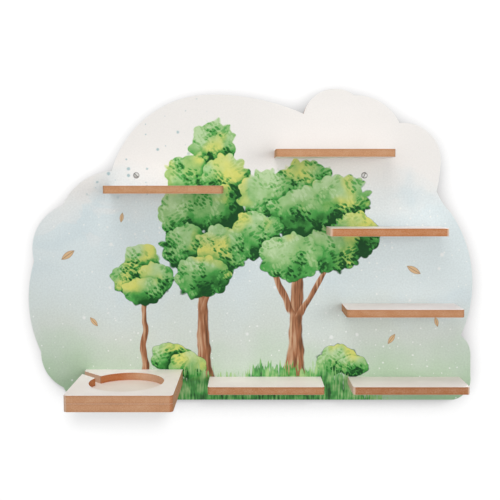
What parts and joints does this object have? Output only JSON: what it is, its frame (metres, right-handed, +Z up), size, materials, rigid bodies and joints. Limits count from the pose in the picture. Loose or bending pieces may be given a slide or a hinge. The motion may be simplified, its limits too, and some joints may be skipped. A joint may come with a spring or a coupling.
{
  "type": "tree wall shelf",
  "caption": "Cloud-shaped wall panel with a printed tree scene, short shelf boards for small figures and a square station with a round well and cable slot for a player.",
  "frame": {"origin": "midway between the two wall screw axes, on the wall plane at the rear of the panel", "axes": "+X to the right and +Z up as seen from the front, +Y into the wall, so the front faces -Y"},
  "size_m": [0.7136, 0.216, 0.4984],
  "materials": {
    "raw_fibreboard": "raw routed medium density fibreboard edge, matte",
    "white_melamine": "warm white melamine film, low sheen",
    "printed_film": "printed decor film, watercolour wash in cream, pale blue and green, low sheen",
    "zinc_steel": "bright zinc plated steel"
  },
  "bodies": {
    "root": {"back_panel": "raw_fibreboard", "printed_front": "printed_film", "panel_rear_film": "white_melamine", "upper_left_shelf": "raw_fibreboard", "upper_left_shelf_faces": "white_melamine", "upper_left_shelf_screws": "zinc_steel", "upper_right_shelf": "raw_fibreboard", "upper_right_shelf_faces": "white_melamine", "upper_right_shelf_screws": "zinc_steel", "middle_right_shelf": "raw_fibreboard", "middle_right_shelf_faces": "white_melamine", "middle_right_shelf_screws": "zinc_steel", "lower_right_shelf": "raw_fibreboard", "lower_right_shelf_faces": "white_melamine", "lower_right_shelf_screws": "zinc_steel", "bottom_middle_shelf": "raw_fibreboard", "bottom_middle_shelf_faces": "white_melamine", "bottom_middle_shelf_screws": "zinc_steel", "bottom_right_shelf": "raw_fibreboard", "bottom_right_shelf_faces": "white_melamine", "bottom_right_shelf_screws": "zinc_steel", "station_base": "raw_fibreboard", "station_base_faces": "white_melamine", "station_ring": "raw_fibreboard", "station_ring_faces": "white_melamine", "station_screws": "zinc_steel", "wall_screw_left": "zinc_steel", "wall_screw_right": "zinc_steel"}
  },
  "joints": []
}
